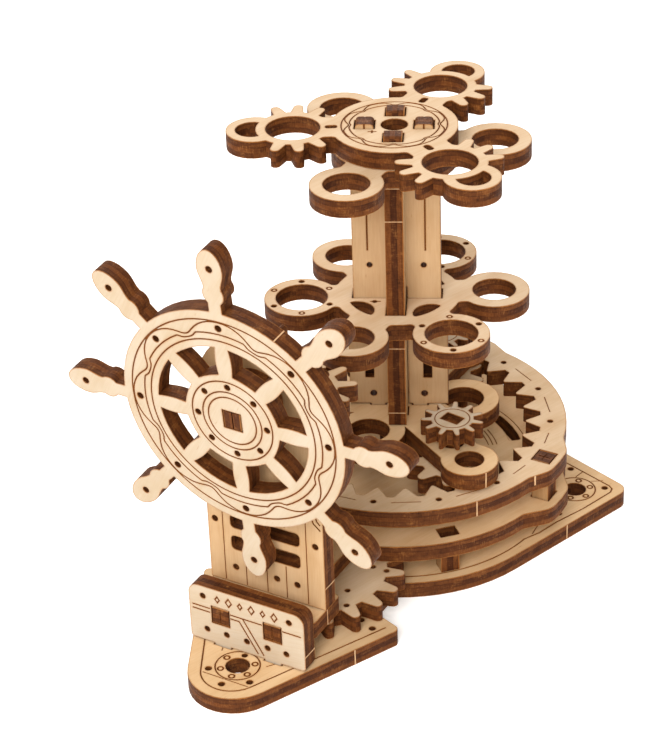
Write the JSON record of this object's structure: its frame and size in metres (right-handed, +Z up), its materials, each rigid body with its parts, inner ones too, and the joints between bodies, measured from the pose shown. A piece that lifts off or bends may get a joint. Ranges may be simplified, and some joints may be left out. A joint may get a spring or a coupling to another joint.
{
  "type": "desk organiser",
  "caption": "Plywood desk organiser: a ship's wheel on a tower turns a carousel of pen rings through a crown gear, a transfer shaft and spur gears, with planet gears in a toothed ring.",
  "frame": {"origin": "on the carousel's axis, at the underside of the base plate, where the centre pin ends flush with it", "axes": "+Z up along the carousel's axis; the ship's wheel faces -Y; X is to the right of a person who faces the wheel"},
  "size_m": [0.0938, 0.1268, 0.1044],
  "materials": {
    "plate_ply": "bare birch plywood, laser cut, with scorched edges",
    "wheel_ply": "bare pale birch plywood, laser cut, with scorched edges",
    "gear_ply": "bare birch plywood gears, laser cut, with scorched edges",
    "axle_ply": "bare birch plywood rod, scorched on its cut sides"
  },
  "bodies": {
    "frame": {"base_plate": "plate_ply", "deck_plate": "plate_ply", "ring_gear_plate": "gear_ply", "ring_post_left": "axle_ply", "ring_post_right": "axle_ply", "ring_post_back": "axle_ply", "deck_post_left": "axle_ply", "deck_post_right": "axle_ply", "name_board": "plate_ply", "tower_front_plate": "plate_ply", "tower_rear_plate": "plate_ply", "bearing_shelf": "plate_ply", "wheel_bearing_boss": "plate_ply", "centre_pin": "axle_ply"},
    "carousel": {"carousel_gear": "gear_ply", "spindle_disc_1": "gear_ply", "spindle_disc_2": "gear_ply", "spindle_disc_3": "gear_ply", "spindle_disc_4": "gear_ply", "lower_platform": "plate_ply", "column_plank_a": "plate_ply", "column_plank_b": "plate_ply", "mid_platform": "plate_ply", "top_ring_plate": "plate_ply", "top_gear_plate": "plate_ply"},
    "transfer": {"transfer_axle": "axle_ply", "upper_transfer_gear": "gear_ply", "lower_transfer_gear": "gear_ply"},
    "wheel": {"ship_wheel": "wheel_ply", "wheel_axle": "axle_ply", "wheel_gear": "gear_ply", "wheel_collar": "gear_ply"},
    "planet_1": {"planet_gear_1": "gear_ply", "planet_pinion_1": "wheel_ply", "planet_axle_1": "axle_ply"},
    "planet_2": {"planet_gear_2": "gear_ply", "planet_pinion_2": "wheel_ply", "planet_axle_2": "axle_ply"},
    "planet_3": {"planet_gear_3": "gear_ply", "planet_pinion_3": "wheel_ply", "planet_axle_3": "axle_ply"}
  },
  "joints": [
    {"name": "carousel_spin", "type": "hinge", "parent": "frame", "child": "carousel", "pos_m": [0, 0, 0], "axis": [0, 0, 1], "continuous": true},
    {"name": "transfer_spin", "type": "hinge", "parent": "frame", "child": "transfer", "pos_m": [0, -0.0424, 0], "axis": [0, 0, 1], "continuous": true},
    {"name": "wheel_spin", "type": "hinge", "parent": "frame", "child": "wheel", "pos_m": [0, -0.07076, 0.06338], "axis": [-0.0278, -0.995, -0.0958], "continuous": true},
    {"name": "planet_spin_1", "type": "hinge", "parent": "carousel", "child": "planet_1", "pos_m": [-0.0003, 0.0216, 0], "axis": [0, 0, 1], "continuous": true},
    {"name": "planet_spin_2", "type": "hinge", "parent": "carousel", "child": "planet_2", "pos_m": [-0.01855, -0.01106, 0], "axis": [0, 0, 1], "continuous": true},
    {"name": "planet_spin_3", "type": "hinge", "parent": "carousel", "child": "planet_3", "pos_m": [0.01886, -0.01054, 0], "axis": [0, 0, 1], "continuous": true}
  ],
  "couplings": [
    {"joint": "transfer_spin", "follows": "carousel_spin", "ratio": -1.25},
    {"joint": "wheel_spin", "follows": "carousel_spin", "ratio": -1.25},
    {"joint": "planet_spin_1", "follows": "carousel_spin", "ratio": -3.3333},
    {"joint": "planet_spin_2", "follows": "carousel_spin", "ratio": -3.3333},
    {"joint": "planet_spin_3", "follows": "carousel_spin", "ratio": -3.3333}
  ]
}
